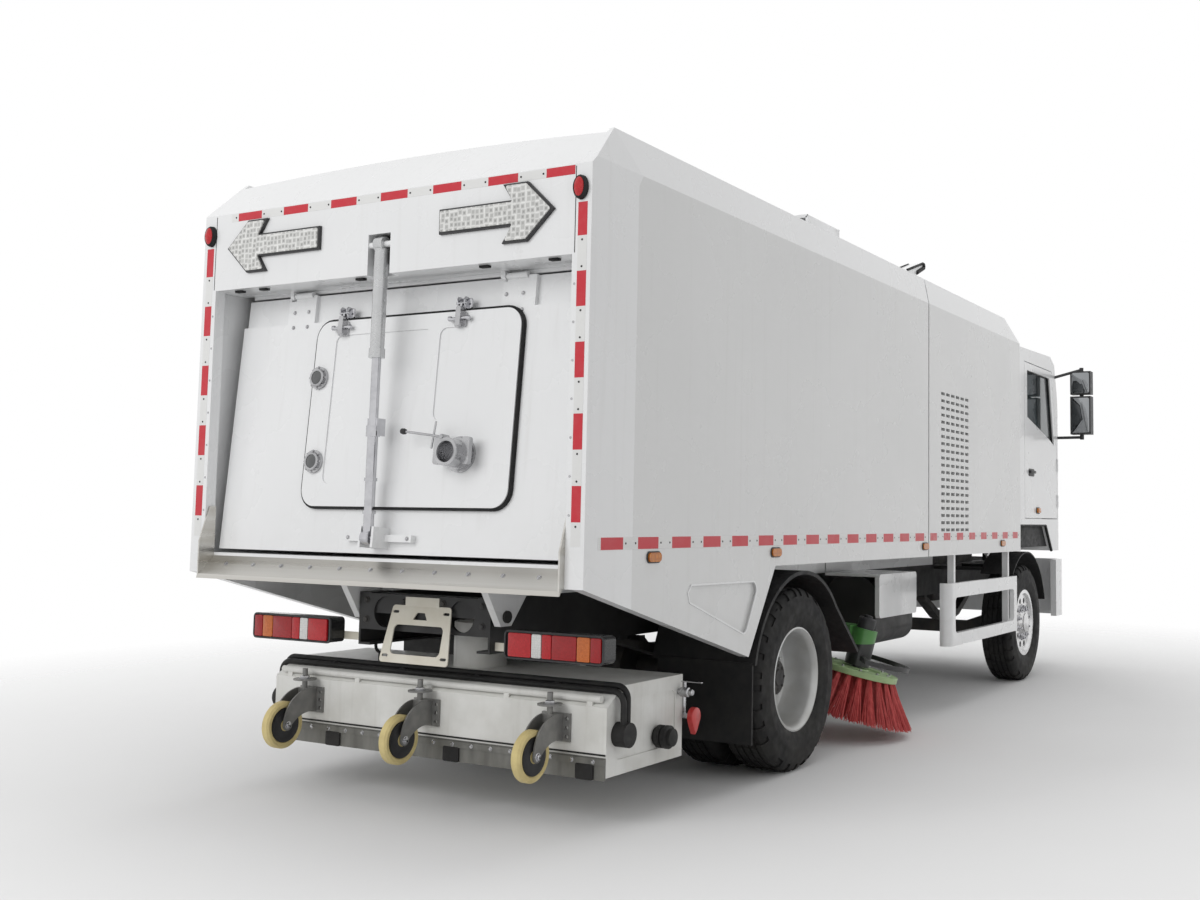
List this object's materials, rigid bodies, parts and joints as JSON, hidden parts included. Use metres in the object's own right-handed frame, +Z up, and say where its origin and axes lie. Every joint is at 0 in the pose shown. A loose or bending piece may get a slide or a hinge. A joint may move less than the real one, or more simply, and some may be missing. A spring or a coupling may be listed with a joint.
{
  "type": "street sweeper truck",
  "caption": "Cab-over street sweeper truck with tipping hopper, top-hinged tail door, lifting suction nozzle on castors, swing-out side brushes, steered wheels and hinged cab doors.",
  "frame": {"origin": "on the ground under the middle of the truck's box", "axes": "+X towards the cab, +Y to the truck's left, +Z up"},
  "size_m": [8.7, 3.06, 3.4348],
  "materials": {
    "white_paint": "smooth white gloss paint",
    "black_paint": "satin black chassis paint",
    "grey_iron": "dark cast iron",
    "steel": "brushed stainless steel",
    "chrome": "polished chrome",
    "alloy": "polished alloy",
    "tyre": "black tyre rubber",
    "rubber": "black rubber",
    "cream": "cream polyurethane",
    "glass": "tinted glass",
    "black_plastic": "grained black plastic",
    "red_lamp": "red lens",
    "clear_lamp": "clear lens",
    "fabric": "dark seat cloth",
    "bristle": "red bristle",
    "green_paint": "light green paint"
  },
  "bodies": {
    "chassis": {"chassis_frame": "black_paint", "axles": "grey_iron", "leaf_springs": "grey_iron", "engine_blocks": "grey_iron", "propeller_shaft": "black_paint", "tanks": "black_paint", "mudguards": "rubber", "side_guards": "white_paint", "tank_cover": "white_paint", "tail_brackets": "white_paint", "chassis_lamps": "red_lamp", "front_bumper": "white_paint", "bay_sides": "white_paint", "bay_roof": "white_paint", "bay_tub": "white_paint"},
    "cab": {"cab_tub": "white_paint", "cab_roof": "white_paint", "cab_front": "white_paint", "cab_sides": "white_paint", "windscreen": "glass", "seats": "fabric", "dashboard": "black_plastic", "cab_trim": "black_plastic"},
    "hopper": {"hopper_rear_frame": "white_paint", "hopper_sides": "white_paint", "hopper_roof": "white_paint", "hopper_tub": "white_paint", "chute": "steel", "hopper_lamps": "clear_lamp"},
    "tail_door": {"tail_door": "white_paint", "door_hatch": "white_paint", "door_fittings": "steel"},
    "cylinder_barrel": {"cylinder_barrel": "white_paint"},
    "cylinder_rod": {"cylinder_rod": "chrome"},
    "nozzle": {"nozzle": "white_paint", "nozzle_skirt": "steel", "nozzle_hoses": "rubber", "castor_forks": "steel"},
    "cab_door_left": {"cab_door_left": "white_paint", "door_glass_left": "glass"},
    "knuckle_left": {"knuckle_left": "grey_iron"},
    "front_wheel_left": {"tyre_front_left": "tyre", "rim_front_left": "alloy"},
    "rear_wheels_left": {"tyres_rear_left": "tyre", "rims_rear_left": "steel"},
    "brush_arm_left": {"brush_arm_left": "green_paint"},
    "brush_left": {"brush_left": "bristle"},
    "cab_door_right": {"cab_door_right": "white_paint", "door_glass_right": "glass"},
    "knuckle_right": {"knuckle_right": "grey_iron"},
    "front_wheel_right": {"tyre_front_right": "tyre", "rim_front_right": "alloy"},
    "rear_wheels_right": {"tyres_rear_right": "tyre", "rims_rear_right": "steel"},
    "brush_arm_right": {"brush_arm_right": "green_paint"},
    "brush_right": {"brush_right": "bristle"},
    "castor_right": {"castor_wheel_right": "cream"},
    "castor_middle": {"castor_wheel_middle": "cream"},
    "castor_left": {"castor_wheel_left": "cream"}
  },
  "joints": [
    {"name": "hopper_tip", "type": "hinge", "parent": "chassis", "child": "hopper", "pos_m": [-3.85, 0, 0.95], "axis": [0, -1, 0], "range_deg": [0, 45]},
    {"name": "tail_door_swing", "type": "hinge", "parent": "hopper", "child": "tail_door", "pos_m": [-4.11, 0, 2.578], "axis": [0, 1, 0], "range_deg": [0, 70]},
    {"name": "cylinder_swing", "type": "hinge", "parent": "hopper", "child": "cylinder_barrel", "pos_m": [-4.29, 0, 2.755], "axis": [0, 1, 0], "range_deg": [0, 67.89]},
    {"name": "cylinder_stroke", "type": "slide", "parent": "cylinder_barrel", "child": "cylinder_rod", "axis": [0.0168, 0, 0.9999], "range_m": [0, 0.286]},
    {"name": "cab_tilt", "type": "hinge", "parent": "chassis", "child": "cab", "pos_m": [4.2, 0, 1.13], "axis": [0, 1, 0], "range_deg": [0, 45]},
    {"name": "nozzle_lift", "type": "slide", "parent": "chassis", "child": "nozzle", "axis": [0, 0, -1], "range_m": [0, 0.215]},
    {"name": "cab_door_left_swing", "type": "hinge", "parent": "cab", "child": "cab_door_left", "pos_m": [4.01, 1.19, 1.8], "axis": [0, 0, -1], "range_deg": [0, 65]},
    {"name": "steer_left", "type": "hinge", "parent": "chassis", "child": "knuckle_left", "pos_m": [2.93, 0.87, 0.522], "axis": [0, 0, 1], "range_deg": [-32, 32]},
    {"name": "front_wheel_left_spin", "type": "hinge", "parent": "knuckle_left", "child": "front_wheel_left", "pos_m": [2.93, 1.03, 0.522], "axis": [0, 1, 0], "continuous": true},
    {"name": "rear_wheels_left_spin", "type": "hinge", "parent": "chassis", "child": "rear_wheels_left", "pos_m": [-2.07, 0.915, 0.522], "axis": [0, 1, 0], "continuous": true},
    {"name": "brush_arm_left_swing", "type": "hinge", "parent": "chassis", "child": "brush_arm_left", "pos_m": [-0.43, 0.52, 0.7], "axis": [0, 0, -1], "range_deg": [-12, 15]},
    {"name": "brush_left_spin", "type": "hinge", "parent": "brush_arm_left", "child": "brush_left", "pos_m": [-0.74, 1.02, 0.455], "axis": [0.121, 0.2095, 0.9703], "continuous": true},
    {"name": "cab_door_right_swing", "type": "hinge", "parent": "cab", "child": "cab_door_right", "pos_m": [4.01, -1.19, 1.8], "axis": [0, 0, 1], "range_deg": [0, 65]},
    {"name": "steer_right", "type": "hinge", "parent": "chassis", "child": "knuckle_right", "pos_m": [2.93, -0.87, 0.522], "axis": [0, 0, 1], "range_deg": [-32, 32]},
    {"name": "front_wheel_right_spin", "type": "hinge", "parent": "knuckle_right", "child": "front_wheel_right", "pos_m": [2.93, -1.03, 0.522], "axis": [0, 1, 0], "continuous": true},
    {"name": "rear_wheels_right_spin", "type": "hinge", "parent": "chassis", "child": "rear_wheels_right", "pos_m": [-2.07, -0.915, 0.522], "axis": [0, 1, 0], "continuous": true},
    {"name": "brush_arm_right_swing", "type": "hinge", "parent": "chassis", "child": "brush_arm_right", "pos_m": [-0.43, -0.52, 0.7], "axis": [0, 0, 1], "range_deg": [-12, 15]},
    {"name": "brush_right_spin", "type": "hinge", "parent": "brush_arm_right", "child": "brush_right", "pos_m": [-0.74, -1.02, 0.455], "axis": [0.121, -0.2095, 0.9703], "continuous": true},
    {"name": "castor_right_spin", "type": "hinge", "parent": "nozzle", "child": "castor_right", "pos_m": [-4.055, -0.8, 0.345], "axis": [0, 1, 0], "continuous": true},
    {"name": "castor_middle_spin", "type": "hinge", "parent": "nozzle", "child": "castor_middle", "pos_m": [-4.055, 0, 0.345], "axis": [0, 1, 0], "continuous": true},
    {"name": "castor_left_spin", "type": "hinge", "parent": "nozzle", "child": "castor_left", "pos_m": [-4.055, 0.8, 0.345], "axis": [0, 1, 0], "continuous": true}
  ],
  "couplings": [
    {"joint": "steer_right", "follows": "steer_left", "ratio": 1},
    {"joint": "cylinder_swing", "follows": "tail_door_swing", "ratio": 0.9691},
    {"joint": "cylinder_stroke", "follows": "tail_door_swing", "m_per_rad": 0.2337}
  ]
}
